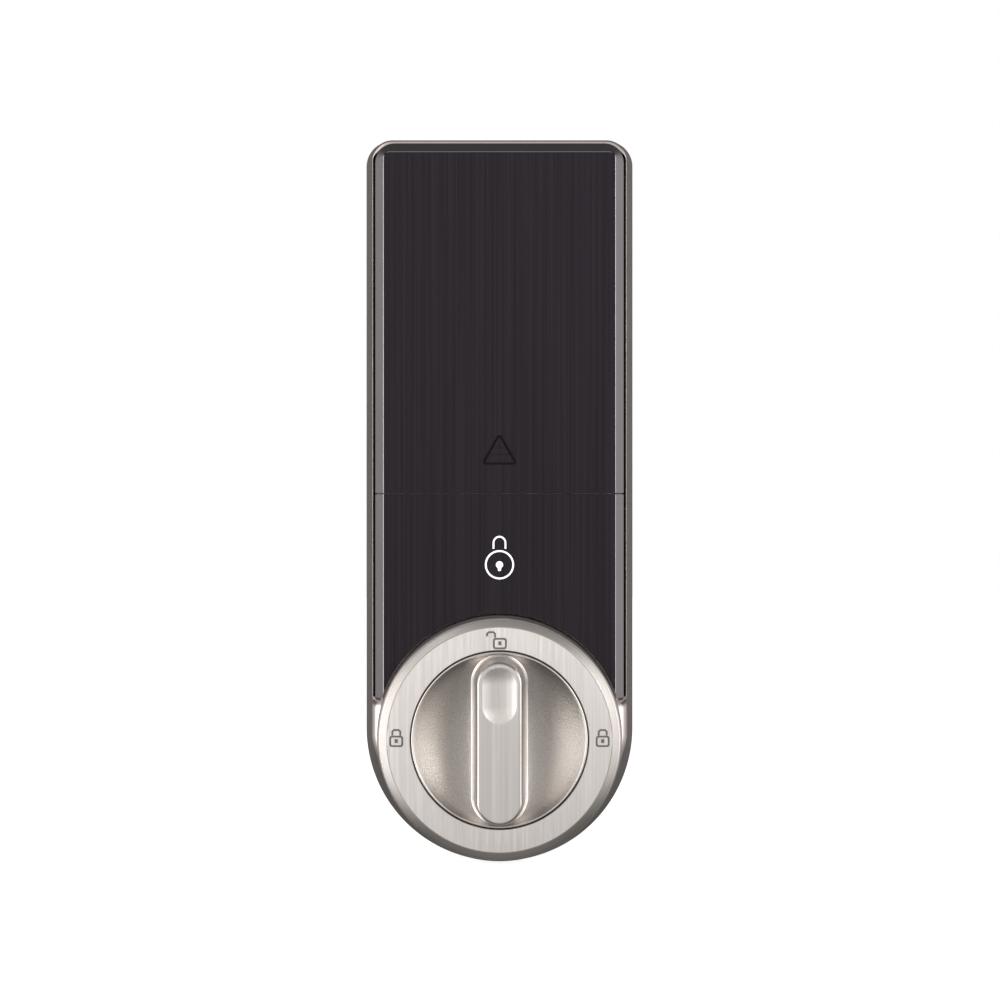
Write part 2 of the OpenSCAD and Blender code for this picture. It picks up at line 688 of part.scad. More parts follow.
module retaining_clip() color([0.4, 0.4, 0.42]) translate([0, 0, clip_z + 0.1]) difference() {
    tube(10.5, 8.25, 0.7);
    translate([-2, 0, -1]) cube([4, 12, 3]);
}

module knob_screws() color([0.35, 0.35, 0.36]) for (s = [-1, 1]) translate([0, s * 12, hub_flange_z]) {
    cylinder(r = 1.2, h = 6);
    cylinder(r1 = 2.4, r2 = 1.2, h = 1.2);
}

// ---------------------------------------------------------------- knob

// The knob's skin is a stack of rings with knob_n points each. A circle point on the rim is carried to the
// nearest point of the grip bar's stadium, kept as [normal x, normal y, place along the straight side].
foot_straight = foot_l - foot_w;
function bar_place(i) =
    let (c = polar(knob_r, 360 * i / knob_n), e = [0, sign(c.y) * foot_straight], u = (c - e) / norm(c - e))
    abs(c.y) <= foot_straight ? [sign(c.x), 0, c.y / foot_straight] : [u.x, u.y, sign(c.y)];
places = [for (i = [0:knob_n - 1]) bar_place(i)];

function circle_ring(r, z) = [for (i = [0:knob_n - 1]) let (c = polar(r, 360 * i / knob_n)) [c.x, c.y, z]];
function stadium_ring(w, l, yc, z) = [for (p = places) [w * p.x, yc + w * p.y + p.z * (l - w), z]];
// Scoop ring at share t of the way from the bar's foot to the rim
function scoop_ring(t) =
    let (rim = circle_ring(knob_r - rim_bevel, ring_z), foot = stadium_ring(foot_w, foot_l, 0, foot_z),
         widest = knob_r - rim_bevel - foot_w)
    [for (i = [0:knob_n - 1])
        let (p = foot[i] * (1 - t) + rim[i] * t,
             d = scoop_d * norm([rim[i].x - foot[i].x, rim[i].y - foot[i].y]) / widest)
        [p.x, p.y, p.z - d * pow(sin(180 * t), 0.8)]];

module knob() color([0.75, 0.73, 0.7]) {
    q = knob_n / 4;
    rings = concat(
        [circle_ring(knob_r - 0.05, disc_z), circle_ring(knob_r - 0.05, ring_z - rim_bevel)],
        [for (k = [0:scoop_n]) scoop_ring(1 - k / scoop_n)],
        [stadium_ring(bar_w, bar_l, 0, grip_z - bar_bevel),
         stadium_ring(bar_w - bar_bevel, bar_l - bar_bevel, 0, grip_z)],
        [for (k = [0:2]) let (s = 1 - 0.3 * k)
            stadium_ring(dimple_w * s, dimple_l - dimple_w * (1 - s), dimple_y,
                         grip_z - dimple_d * (1 - s * s))]
    );
    last = len(rings) - 1;
    top = last * knob_n;
    faces = concat(
        [[for (i = [0:knob_n - 1]) i]],
        [for (k = [0:last - 1], i = [0:knob_n - 1], half = [0, 1])
            let (j = (i + 1) % knob_n, a = k * knob_n + i, b = k * knob_n + j,
                 c = (k + 1) * knob_n + j, d = (k + 1) * knob_n + i)
            half == 0 ? [a, d, c] : [a, c, b]],
        // the dimple's floor is closed by a strip from its right side to its left
        [for (i = [-q:q - 2]) [top + (i + knob_n) % knob_n, top + 2 * q - i - 1, top + (i + 1 + knob_n) % knob_n]],
        [for (i = [1 - q:q - 1]) [top + (i + knob_n) % knob_n, top + 2 * q - i, top + 2 * q - i - 1]]
    );
    difference() {
        union() {
            translate([0, 0, knob_z0]) cylinder(r = knob_r, h = disc_z - knob_z0);
            polyhedron(points = [for (r = rings, p = r) p], faces = faces, convexity = 6);
        }
        for (s = [-1, 1]) translate([0, s * 12, knob_z0 - 1]) cylinder(r = 1.2 + fit, h = 6);
    }
}

// ---------------------------------------------------------------- assembly

to_door() housing();
to_door() mounting_plate();
to_door() rear_cover();
to_door() assembly_screws();
to_door() rear_cover_screws();
to_door() lower_panel();
to_door() panel_faceplate();
to_door() panel_screws();
to_door() touch_icon();
to_door() light_guide();
to_door() touch_electrode();
to_door() bezel_ring();
to_door() ring_screws();
to_door() knob_bush();
to_door() battery_tray();
to_door() battery(1);  // battery_1
to_door() battery(2);  // battery_2
to_door() battery(3);  // battery_3
to_door() battery(4);  // battery_4
to_door() battery_springs();
to_door() battery_contacts();
to_door() battery_leads();
to_door() main_board();
to_door() board_screws();
to_door() board_chips();
to_door() radio_module();
to_door() buzzer();
to_door() cable_header();
to_door() status_leds();
to_door() motor();
to_door() motor_clamp();
to_door() clamp_screws();
to_door() idler_pin();
to_door() idler_clip();
to_door() sensor_board();
to_door() hall_sensors();
to_door() reset_board();
to_door() reset_switch();
to_door() battery_cover();
to_door() cover_faceplate();
to_door() knob();
to_door() knob_hub();
to_door() knob_screws();
to_door() spindle();
to_door() spindle_pin();
to_door() drive_gear();
to_door() position_magnet();
to_door() retaining_clip();
to_door() idler_gear();
to_door() motor_pinion();
to_door() motor_shaft();
to_door() reset_button();
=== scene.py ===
"""Looks for the inside unit of a keypad deadbolt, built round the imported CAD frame.

Pieces are modelled in plate millimetres: x right, y up the door, z out of the door. row() turns a
point into the frame's metres, where the room is at -Y and +Z is up.
"""
import json
import math

import bmesh
import bpy
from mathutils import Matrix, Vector


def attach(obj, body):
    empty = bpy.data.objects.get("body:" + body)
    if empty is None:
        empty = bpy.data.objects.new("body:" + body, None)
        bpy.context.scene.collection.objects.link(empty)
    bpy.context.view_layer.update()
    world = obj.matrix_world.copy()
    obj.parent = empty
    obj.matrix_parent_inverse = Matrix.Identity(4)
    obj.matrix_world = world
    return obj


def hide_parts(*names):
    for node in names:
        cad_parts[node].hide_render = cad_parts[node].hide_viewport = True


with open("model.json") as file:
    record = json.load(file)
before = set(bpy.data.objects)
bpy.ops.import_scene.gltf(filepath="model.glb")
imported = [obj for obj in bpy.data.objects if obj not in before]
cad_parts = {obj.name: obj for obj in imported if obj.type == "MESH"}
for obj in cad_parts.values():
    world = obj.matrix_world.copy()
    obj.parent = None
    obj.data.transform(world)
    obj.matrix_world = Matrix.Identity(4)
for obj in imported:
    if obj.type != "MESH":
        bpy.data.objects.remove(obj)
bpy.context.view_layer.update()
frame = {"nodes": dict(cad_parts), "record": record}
nodes = frame["nodes"]

MM = 0.001
TAU = 2 * math.pi

# Sizes in millimetres. They are the CAD's, but the covers' outlines are trimmed by up to half a millimetre.
BODY_R = 35.0            # half the width, and the radius of the round lower end
BODY_TOP = 154.0
CORNER_R = 6.5
FRONT_Z = 24.5           # front of the housing
CAVITY_Z = 22.5          # inside of the housing's front wall
WALL_START_Z = 6.0       # the side walls lean in from about here
SKIRT_Z = 24.8           # rear edge of the front covers
SHEET_Z = 30.5           # back of the covers' brushed sheets
FACE_Z = 31.0            # front of the covers
COVER_HALF = 31.5        # half width of the covers
FACE_HALF = 29.25        # half width of their flat face
COVER_TOP = 150.3
SEAM_Y = 61.5            # between the battery cover and the lower panel
SEAM_GAP = 0.12          # from the seam's middle to either cover
PANEL_BOTTOM = 9.4
SHEET_INSET = 0.17       # from the flat face's edge to its sheet
RING_Z = 36.0            # face of the bezel ring
RING_R = 31.0
KNOB_R = 22.1
GRIP_Z = 45.0            # face of the knob's bar
ICON_Y = 43.6
ARROW_Y = 69.1
LIGHT_R = 5.2            # hole behind the touch symbol
POSTS = [(-27, 68), (27, 68), (-27, 144), (27, 144)]
REAR_SCREWS = [(-20, 144.5), (20, 144.5), (-27, 48), (27, 48), (0, -25)]
PANEL_SCREWS = [(-27, 20.5), (27, 20.5), (-27, 57.5), (27, 57.5)]
RAILS_X = (-20, 20)      # hooks and rails that hold the battery cover


def row(p):
    """A plate point in millimetres as a frame point in metres."""
    return Vector((p[0], -p[2], p[1])) * MM


# ---------------------------------------------------------------- mesh helpers

def new_object(name, points, faces, marks=None):
    """A mesh object from plate points and faces; marks gives each face its material index."""
    mesh = bpy.data.meshes.new(name)
    mesh.from_pydata([row(p) for p in points], [], faces)
    if marks:
        mesh.polygons.foreach_set("material_index", marks)
    mesh.validate()
    obj = bpy.data.objects.new(name, mesh)
    bpy.context.scene.collection.objects.link(obj)
    return obj


def loft(name, rings, marks=None):
    """A closed solid through rings of equal length that run anticlockwise seen from the room, from the
    door outwards. marks gives the material index of each band, then of the last cap."""
    n = len(rings[0])
    points = [p for ring in rings for p in ring]
    faces = [list(reversed(range(n)))]
    bands = [0]
    for k in range(len(rings) - 1):
        for i in range(n):
            j = (i + 1) % n
            faces.append([k * n + i, k * n + j, (k + 1) * n + j, (k + 1) * n + i])
            bands.append(marks[k] if marks else 0)
    faces.append([(len(rings) - 1) * n + i for i in range(n)])
    bands.append(marks[-1] if marks else 0)
    return new_object(name, points, faces, bands)


def revolve(name, profile, n=192, centre=(0, 0), marks=None):
    """A closed ring of revolution from (radius, z) points that run anticlockwise in the r-z plane."""
    m = len(profile)
    points = []
    for i in range(n):
        a = TAU * i / n
        for r, z in profile:
            points.append((centre[0] + r * math.cos(a), centre[1] + r * math.sin(a), z))
    faces = []
    bands = []
    for i in range(n):
        j = (i + 1) % n
        for k in range(m):
            q = (k + 1) % m
            faces.append([i * m + k, j * m + k, j * m + q, i * m + q])
            bands.append(marks[k] if marks else 0)
    return new_object(name, points, faces, bands)


def prism(name, outline, z0, z1):
    return loft(name, [[(x, y, z0) for x, y in outline], [(x, y, z1) for x, y in outline]])


def block(name, x0, x1, y0, y1, z0, z1):
    return prism(name, [(x0, y0), (x1, y0), (x1, y1), (x0, y1)], z0, z1)


def disc(name, centre, r, z0, z1, n=64):
    return prism(name, arc(centre, r, 0, 360, n)[:-1], z0, z1)


def join(name, objs):
    """One object from several, which are used up."""
    bm = bmesh.new()
    for o in objs:
        bm.from_mesh(o.data)
    mesh = bpy.data.meshes.new(name)
    bm.to_mesh(mesh)
    bm.free()
    for o in objs:
        bpy.data.objects.remove(o)
    obj = bpy.data.objects.new(name, mesh)
    bpy.context.scene.collection.objects.link(obj)
    return obj


def cut(obj, *cutters):
    """Takes the cutters out of obj, one after another, and uses them up."""
    for cutter in cutters:
        mod = obj.modifiers.new("cut", "BOOLEAN")
        mod.operation = "DIFFERENCE"
        mod.solver = "EXACT"
        mod.object = cutter
        graph = bpy.context.evaluated_depsgraph_get()
        mesh = bpy.data.meshes.new_from_object(obj.evaluated_get(graph))
        obj.modifiers.clear()
        obj.data = mesh
        bpy.data.objects.remove(cutter)


def smooth(obj, angle=30):
    """Smooth shading with creases where faces meet at more than the angle."""
    obj.data.shade_smooth()
    obj.data.set_sharp_from_angle(angle=math.radians(angle))
    return obj


def soften(obj, width, segments=2, angle=40):
    """Small rounded edges, so that every crease catches some light."""
    mod = obj.modifiers.new("edges", "BEVEL")
    mod.width = width * MM
    mod.segments = segments
    mod.limit_method = "ANGLE"
    mod.angle_limit = math.radians(angle)
    mod.use_clamp_overlap = True
    mod.harden_normals = True
    return obj


# ---------------------------------------------------------------- outlines

def arc(centre, r, start, end, n):
    """n + 1 points along an arc, in degrees."""
    out = []
    for i in range(n + 1):
        a = math.radians(start + (end - start) * i / n)
        out.append((centre[0] + r * math.cos(a), centre[1] + r * math.sin(a)))
    return out


def line(a, b, n):
    """n points from a towards b, b left out."""
    return [(a[0] + (b[0] - a[0]) * i / n, a[1] + (b[1] - a[1]) * i / n) for i in range(n)]


def ease(t):
    """0 to 1 with level ends, for t from 0 to 1."""
    t = min(1.0, max(0.0, t))
    return t * t * (3 - 2 * t)


def body_outline(side, top, low, corner):
    """The housing's outline, pulled in by side, top and low at its sides, top and half-round end."""
    half = BODY_R - side
    high = BODY_TOP - top
    out = line((half, 0), (half, 12), 16) + line((half, 12), (half, high - corner), 20)
    out += arc((half - corner, high - corner), corner, 0, 90, 20)
    out += line((half - corner, high), (corner - half, high), 12)[1:]
    out += arc((corner - half, high - corner), corner, 90, 180, 20)
    out += line((-half, high - corner), (-half, 12), 20)[1:] + line((-half, 12), (-half, 0), 16)
    for i in range(180):
        a = math.radians(180 + i)
        r = BODY_R - side - (low - side) * ease(abs(math.sin(a)) / 0.25)
        out.append((r * math.cos(a), r * math.sin(a)))
    return out


def cover_outline(half, y0, y1, top_corner, low_corner):
    """A panel's outline with rounded corners at its top and its bottom."""
    out = arc((low_corner - half, y0 + low_corner), low_corner, 180, 270, 8)
    out += arc((half - low_corner, y0 + low_corner), low_corner, 270, 360, 8)
    out += line((half, y0 + low_corner), (half, y1 - top_corner), 16)[1:]
    out += arc((half - top_corner, y1 - top_corner), top_corner, 0, 90, 16)
    out += arc((top_corner - half, y1 - top_corner), top_corner, 90, 180, 16)
    out += line((-half, y1 - top_corner), (-half, y0 + low_corner), 16)[1:]
    return out


def lift(outline, z):
    return [(x, y, z) for x, y in outline]


def shift(outline, x, y):
    return [(px + x, py + y) for px, py in outline]




def rounded_polygon(corners, r, n=6):
    """Corners of a convex outline, anticlockwise, each rounded by radius r."""
    out = []
    m = len(corners)
    for i in range(m):
        p, c, q = (Vector(corners[(i + k) % m]) for k in (-1, 0, 1))
        u, v = (p - c).normalized(), (q - c).normalized()
        half = u.angle(v) / 2
        centre = c + (u + v).normalized() * (r / math.sin(half))
        a, b = c + u * (r / math.tan(half)) - centre, c + v * (r / math.tan(half)) - centre
        a0, a1 = math.atan2(a.y, a.x), math.atan2(b.y, b.x)
        while a1 < a0:
            a1 += TAU
        for k in range(n + 1):
            t = a0 + (a1 - a0) * k / n
            out.append((centre.x + r * math.cos(t), centre.y + r * math.sin(t)))
    return out


def stroke(path, width):
    """An outline of constant width along an open path."""
    pts = [Vector(p) for p in path]
    left = []
    right = []
    for i, p in enumerate(pts):
        before = (p - pts[i - 1]).normalized() if i else None
        after = (pts[i + 1] - p).normalized() if i < len(pts) - 1 else None
        d = ((before or after) + (after or before)).normalized()
        side = Vector((-d.y, d.x))
        reach = width / 2 / max(0.3, side.dot(Vector((-(after or before).y, (after or before).x))))
        left.append(p + side * reach)
        right.append(p - side * reach)
    return [tuple(p) for p in right + left[::-1]]


# ---------------------------------------------------------------- pictograms

def frame_of(name, outer, inner, z0, z1):
    """A closed line between two outlines with the same number of points."""
    n = len(outer)
    points = lift(outer, z0) + lift(outer, z1) + lift(inner, z1) + lift(inner, z0)
    faces = []
    for k in range(4):
        for i in range(n):
            j = (i + 1) % n
            q = (k + 1) % 4
            faces.append([k * n + i, k * n + j, q * n + j, q * n + i])
    return new_object(name, points, faces)


def touch_symbol(name, z0, z1, grow=0.0):
    """Padlock with a round body: a ring, a shackle and a keyhole."""
    line_w = 0.43 + 2 * grow
    ring = frame_of("ring", shift(arc((0, 0), 3.45 + line_w / 2, 0, 360, 72)[:-1], 0, ICON_Y),
                    shift(arc((0, 0), 3.45 - line_w / 2, 0, 360, 72)[:-1], 0, ICON_Y), z0, z1)
    path = [(-1.5, 4.05 - grow)] + arc((0, 5.55), 1.5, 180, 0, 24) + [(1.5, 4.05 - grow)]
    shackle = prism("shackle", shift(stroke(path, line_w), 0, ICON_Y), z0, z1)
    r = 0.9 + grow
    stem = 0.42 + grow
    neck = math.degrees(math.asin(stem / r))
    hole = arc((0, 0), r, -90 + neck, 270 - neck, 32)
    hole += arc((0, -1.18), stem, 180, 360, 12)
    keyhole = prism("keyhole", shift(hole, 0, ICON_Y), z0, z1)
    return join(name, [ring, shackle, keyhole])


def engraved_lock(centre, is_open):
    """Cutters for a small padlock drawn in lines on the bezel ring's face."""
    z0, z1 = RING_Z - 0.4, RING_Z + 1
    x, y = centre
    w = 0.24
    body = [(-1.75, -2.35), (1.75, -2.35), (1.75, 0.5), (-1.75, 0.5)]
    inner = [(-1.75 + 2 * w, -2.35 + 2 * w), (1.75 - 2 * w, -2.35 + 2 * w),
             (1.75 - 2 * w, 0.5 - 2 * w), (-1.75 + 2 * w, 0.5 - 2 * w)]
    parts = [frame_of("body", shift(rounded_polygon(body, 0.7), x, y),
                      shift(rounded_polygon(inner, 0.35), x, y), z0, z1)]
    bow = [(-1.0, 0.55), (-1.0, 1.5), (-0.6, 1.9), (0.6, 1.9), (1.0, 1.5), (1.0, 0.55)]
    if is_open:
        bow = [(px - 2.2, py + (0.0 if i else 0.3)) for i, (px, py) in enumerate(bow)]
    parts.append(prism("bow", shift(stroke(bow, 2 * w), x, y), z0, z1))
    key = [(-0.4, -1.35), (0.4, -1.35), (0.4, -0.35), (-0.4, -0.35)]
    parts.append(prism("key", shift(key, x, y), z0, z1))
    return join("lock_cutter", parts)


# ---------------------------------------------------------------- materials

class Paint:
    """A node material with short calls for the patterns that the finishes share."""

    def __init__(self, name, colour, metallic, roughness, **more):
        self.mat = bpy.data.materials.new(name)
        self.mat.use_nodes = True
        self.tree = self.mat.node_tree
        self.shader = self.tree.nodes["Principled BSDF"]
        self.colour = colour
        self.roughness = roughness
        self.shader.inputs["Base Color"].default_value = (*colour, 1)
        self.shader.inputs["Metallic"].default_value = metallic
        self.shader.inputs["Roughness"].default_value = roughness
        for key, value in more.items():
            self.shader.inputs[key.replace("_", " ")].default_value = value

    def node(self, kind, **values):
        made = self.tree.nodes.new(kind)
        for key, value in values.items():
            made.inputs[key.replace("_", " ")].default_value = value
        return made

    def noise(self, stretch, detail=3.0, rough=0.6):
        """Noise with stretch cycles per metre along x, y and z of the frame."""
        place = self.node("ShaderNodeTexCoord")
        scale = self.node("ShaderNodeVectorMath")
        scale.operation = "MULTIPLY"
        scale.inputs[1].default_value = stretch
        self.tree.links.new(place.outputs["Object"], scale.inputs[0])
        noise = self.node("ShaderNodeTexNoise", Scale=1.0, Detail=detail, Roughness=rough)
        self.tree.links.new(scale.outputs[0], noise.inputs["Vector"])
        return noise.outputs["Fac"]

    def remap(self, source, low, high, a=0.3, b=0.7):
        ramp = self.node("ShaderNodeMapRange", From_Min=a, From_Max=b, To_Min=low, To_Max=high)
        self.tree.links.new(source, ramp.inputs["Value"])
        return ramp.outputs["Result"]

    def vary_colour(self, source, spread):
        """Base colour times 1 - spread to 1 + spread."""
        factor = self.remap(source, 1 - spread, 1 + spread)
        mix = self.node("ShaderNodeVectorMath")
        mix.operation = "SCALE"
        mix.inputs[0].default_value = self.colour
        self.tree.links.new(factor, mix.inputs["Scale"])
        self.tree.links.new(mix.outputs[0], self.shader.inputs["Base Color"])

    def vary_roughness(self, source, spread):
        value = self.remap(source, self.roughness - spread, self.roughness + spread)
        self.tree.links.new(value, self.shader.inputs["Roughness"])

    def relief(self, source, depth):
        """Bump of the given depth in millimetres."""
        bump = self.node("ShaderNodeBump", Strength=1.0, Distance=depth * MM)
        self.tree.links.new(source, bump.inputs["Height"])
        self.tree.links.new(bump.outputs[0], self.shader.inputs["Normal"])


def brushed(name, colour, roughness, metallic=1.0, spread=0.1, depth=0.01, **more):
    """Brushed up and down: fine streaks along the frame's Z."""
    paint = Paint(name, colour, metallic, roughness, **more)
    streaks = paint.noise((3300, 3300, 9), 2, 0.6)
    paint.vary_colour(streaks, spread)
    paint.vary_roughness(streaks, 0.05)
    paint.relief(streaks, depth)
    return paint.mat


def blasted(name, colour, roughness, metallic=1.0, depth=0.03, cycles=3200, spread=0.06, speckle=0.0):
    """Bead-blasted or satin-plated casting: a fine even grain. speckle gives the grain colour too."""
    paint = Paint(name, colour, metallic, roughness)
    grain = paint.noise((cycles, cycles, cycles), 2, 0.6)
    if speckle:
        paint.vary_colour(grain, speckle)
    else:
        paint.vary_colour(paint.noise((60, 60, 60), 2), spread)
    paint.vary_roughness(grain, 0.06)
    paint.relief(grain, depth)
    return paint.mat


def moulded(name, colour, roughness, depth=0.02, cycles=1500, **more):
    """Plastic or board with a faint texture and slightly uneven gloss."""
    paint = Paint(name, colour, 0.0, roughness, **more)
    grain = paint.noise((cycles, cycles, cycles), 3)
    paint.vary_colour(paint.noise((90, 90, 90), 2), 0.08)
    paint.vary_roughness(grain, 0.06)
    paint.relief(grain, depth)
    return paint.mat


MATERIALS = {
    "satin_metal": blasted("satin_metal", (0.50, 0.445, 0.435), 0.34, depth=0.006),
    "cover_metal": blasted("cover_metal", (0.26, 0.245, 0.26), 0.34, depth=0.004, spread=0.03),
    "dark_brushed": brushed("dark_brushed", (0.0195, 0.0155, 0.0205), 0.42, metallic=0.8, spread=0.3,
                            depth=0.006),
    # Near-black painted shade for the walls and floors of grooves and recesses
    "recess_shade": moulded("recess_shade", (0.007, 0.006, 0.007), 0.6, depth=0.004, Specular_IOR_Level=0.12),
    "ring_metal": brushed("ring_metal", (0.65, 0.615, 0.595), 0.34, spread=0.07, depth=0.004,
                          Anisotropic=0.6),
    "ring_side": blasted("ring_side", (0.64, 0.60, 0.575), 0.42, depth=0.003),
    # The ring's own metal at half brightness: painted shade on the rounded edges of its face and on its bore
    # wall
    "shaded_ring_bevel": blasted("shaded_ring_bevel", (0.32, 0.301, 0.287), 0.4, depth=0.003),
    "engraved": blasted("engraved", (0.2, 0.19, 0.185), 0.5, depth=0.004),
    "knob_metal": blasted("knob_metal", (0.36, 0.335, 0.313), 0.36, depth=0.07, cycles=2600, speckle=0.12),
    "knob_face": brushed("knob_face", (0.53, 0.502, 0.483), 0.34, spread=0.07, depth=0.004,
                         Anisotropic=0.6),
    "knob_edge": blasted("knob_edge", (0.50, 0.475, 0.455), 0.34, depth=0.002),
    "cast_metal": blasted("cast_metal", (0.45, 0.44, 0.43), 0.45, depth=0.04),
    "zinc_steel": blasted("zinc_steel", (0.55, 0.57, 0.56), 0.36, depth=0.01, spread=0.12),
    "bright_steel": brushed("bright_steel", (0.58, 0.58, 0.57), 0.28),
    "dark_steel": blasted("dark_steel", (0.05, 0.05, 0.052), 0.42, metallic=0.7, depth=0.01),
    "spring_steel": brushed("spring_steel", (0.5, 0.5, 0.5), 0.25),
    "contact_plate": brushed("contact_plate", (0.68, 0.66, 0.6), 0.25),
    "motor_can": brushed("motor_can", (0.5, 0.5, 0.48), 0.32),
    "shield_can": blasted("shield_can", (0.6, 0.6, 0.58), 0.3, depth=0.008),
    "magnet_nickel": blasted("magnet_nickel", (0.66, 0.65, 0.62), 0.15, depth=0.002),
    "pinion_brass": blasted("pinion_brass", (0.72, 0.5, 0.18), 0.3, depth=0.006),
    "copper_foil": blasted("copper_foil", (0.72, 0.36, 0.2), 0.35, depth=0.01),
    "black_plastic": moulded("black_plastic", (0.022, 0.022, 0.024), 0.5),
    "icon_white": moulded("icon_white", (0.85, 0.85, 0.88), 0.35, depth=0.0,
                          Emission_Color=(0.82, 0.83, 0.88, 1), Emission_Strength=0.42),
    "clear_plastic": moulded("clear_plastic", (0.75, 0.78, 0.8), 0.3, depth=0.004),
    "acetal": moulded("acetal", (0.72, 0.69, 0.6), 0.4),
    "cell_wrap": moulded("cell_wrap", (0.03, 0.1, 0.06), 0.28, depth=0.006),
    "wire_red": moulded("wire_red", (0.4, 0.02, 0.015), 0.4),
    "board_green": moulded("board_green", (0.01, 0.09, 0.035), 0.35, depth=0.01),
    "chip_black": moulded("chip_black", (0.02, 0.02, 0.022), 0.5),
    "header_white": moulded("header_white", (0.72, 0.69, 0.6), 0.42),
    "led_white": moulded("led_white", (0.85, 0.82, 0.66), 0.3),
}


def piece(obj, body, slot, *stands_for, extra=()):
    """Gives a finished piece its materials and its body, and hides the CAD nodes that it stands for."""
    for name in (slot, *extra):
        obj.data.materials.append(MATERIALS[name])
    even = obj.modifiers.new("normals", "WEIGHTED_NORMAL")
    even.keep_sharp = True
    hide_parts(*stands_for)
    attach(obj, body)


# ---------------------------------------------------------------- housing

def draft(z):
    """How far, from 0 to 1, the side walls have leaned in at height z."""
    bend = 2.0
    s = z - WALL_START_Z
    if s < -bend:
        return 0.0
    return ((s + bend) ** 2 / (4 * bend) if s < bend else s) / (FRONT_Z - WALL_START_Z)


def housing_ring(side, top, low):
    """One ring of the housing from (z, pull) pairs: beside the covers, along the top, and round the turn."""
    def outline(z, pull):
        t = draft(z)
        return lift(body_outline(2.7 * t + pull, 2.55 * t + pull, 3.8 * t + pull,
                                 CORNER_R - 1.5 * t - pull * 0.5), z)
    out = []
    for a, b, c in zip(outline(*side), outline(*top), outline(*low)):
        high = ease((a[1] - 146.5) / 3.5)
        round_turn = ease((PANEL_BOTTOM + 0.5 - a[1]) / 2.5)
        out.append(tuple(p + (q - p) * high + (r - p) * round_turn for p, q, r in zip(a, b, c)))
    return out


def housing_shell():
    """The casting's outside, with rims of growing radius beside the covers, above them and below them."""
    side_r, top_r, low_r = 0.06, 0.75, 3.0
    walls = [(0.0, 0.3), (0.1, 0.09), (0.3, 0.0)]
    walls += [(z, 0.0) for z in (2.0, 4.0, 4.7, 5.4, 6.1, 6.8, 7.4, 8.0, 12.0, 16.0, 20.0)]
    rings = [housing_ring(w, w, w) for w in walls]
    for degrees in range(0, 91, 10):
        up, back = math.sin(math.radians(degrees)), 1 - math.cos(math.radians(degrees))
        rings.append(housing_ring(*((FRONT_Z - r * (1 - up), r * back) for r in (side_r, top_r, low_r))))
    # Groove between the rim and the covers, its walls and floor painted near-black as shade; below the
    # covers it closes up into the front
    groove_z = FRONT_Z - 1.6
    groove = ((FRONT_Z, 0.07), (groove_z, 0.1), (groove_z, 1.2), (FRONT_Z, 1.25))
    for z, pull in groove:
        rings.append(housing_ring((z, pull), (z, top_r + pull), (FRONT_Z, low_r + pull)))
    shell = loft("housing_shell", rings, [0] * (len(rings) - len(groove)) + [1, 1, 1, 0])
    # Below the covers the groove gets no painted shade
    for face in shell.data.polygons:
        if face.center.z / MM < PANEL_BOTTOM:
            face.material_index = 0
    return shell


def make_housing():
    shell = housing_shell()
    # Step for the rear cover, then the cavity
    recess = prism("recess", [(x * 32.6 / BODY_R, y * 32.6 / BODY_R if y < 0 else y * 151.6 / BODY_TOP)
                              for x, y in body_outline(0, 0, 0, CORNER_R)], -1, 6)
    cut(shell, recess)
    cut(shell, disc("cave", (0, 0), 29.2, -1, CAVITY_Z, 96))
    cut(shell, block("cave", -30.4, 30.4, 10, 149, -1, CAVITY_Z))
    # Holes through the front wall
    through = (21, 26)
    holes = [block("bay", -29.3, 29.3, 74.2, 133.8, *through),
             disc("bore", (0, 0), 11.02, *through, 96),
             disc("light", (0, ICON_Y), LIGHT_R, *through),
             disc("reset", (0, 141), 2.0, *through, 48)]
    holes += [disc("screw", p, 1.3, *through, 32) for p in PANEL_SCREWS]
    for p in POSTS:
        holes.append(loft("post", [lift(arc(p, r, 0, 360, 48)[:-1], z)
                                   for r, z in ((1.7, 20), (1.7, 22.3), (3.0, 22.3), (3.0, 26))]))
    cut(shell, join("holes", holes))
    parts = [smooth(soften(shell, 0.04), 25)]
    # Screw posts inside
    wall = CAVITY_Z + 0.1
    for p in POSTS:
        parts.append(revolve("post", [(1.7, 6.4), (3.2, 6.4), (3.2, wall), (1.7, wall)], 48, p))
    for p in REAR_SCREWS:
        parts.append(revolve("boss", [(1.22, 6), (2.6, 6), (2.6, wall), (1.22, wall)], 32, p))
    # T-shaped hooks that the battery cover's rails run on
    for x in RAILS_X:
        for y in (64, 142):
            parts.append(block("stem", x - 1, x + 1, y, y + 5, 24.4, 26.4))
            parts.append(loft("head", [lift([(x - w, y + d), (x + w, y + d), (x + w, y + 5 - d),
                                             (x - w, y + 5 - d)], z)
                                       for w, d, z in ((2.2, 0, 26.3), (2.2, 0, 27.4), (1.95, 0.25, 27.7))]))
    graph = bpy.context.evaluated_depsgraph_get()
    baked = bpy.data.meshes.new_from_object(parts[0].evaluated_get(graph))
    parts[0].modifiers.clear()
    parts[0].data = baked
    return smooth(join("housing_casting", parts), 28)


piece(make_housing(), "body", "satin_metal", "housing", extra=("recess_shade",))


# ---------------------------------------------------------------- front covers

COVER_WALL = 1.3
INSIDE_Z = 29.4          # inside of the covers' front wall


def chamfer_steps(recess_half):
    """(half width, z) pairs up a cover's skirt, over its chamfer and down into the sheet's recess."""
    out = [(COVER_HALF - 0.2, SKIRT_Z), (COVER_HALF - 0.05, SKIRT_Z + 0.07), (COVER_HALF, SKIRT_Z + 0.25)]
    out += [(COVER_HALF, 26.9), (COVER_HALF - 0.02, 27.15), (COVER_HALF - 0.09, 27.4),
            (COVER_HALF - 0.24, 27.68)]
    out += [(FACE_HALF + 0.14, 30.79), (FACE_HALF + 0.06, 30.9), (FACE_HALF - 0.02, 30.97),
            (FACE_HALF - 0.08, FACE_Z), (recess_half, FACE_Z), (recess_half, SHEET_Z)]
    return out


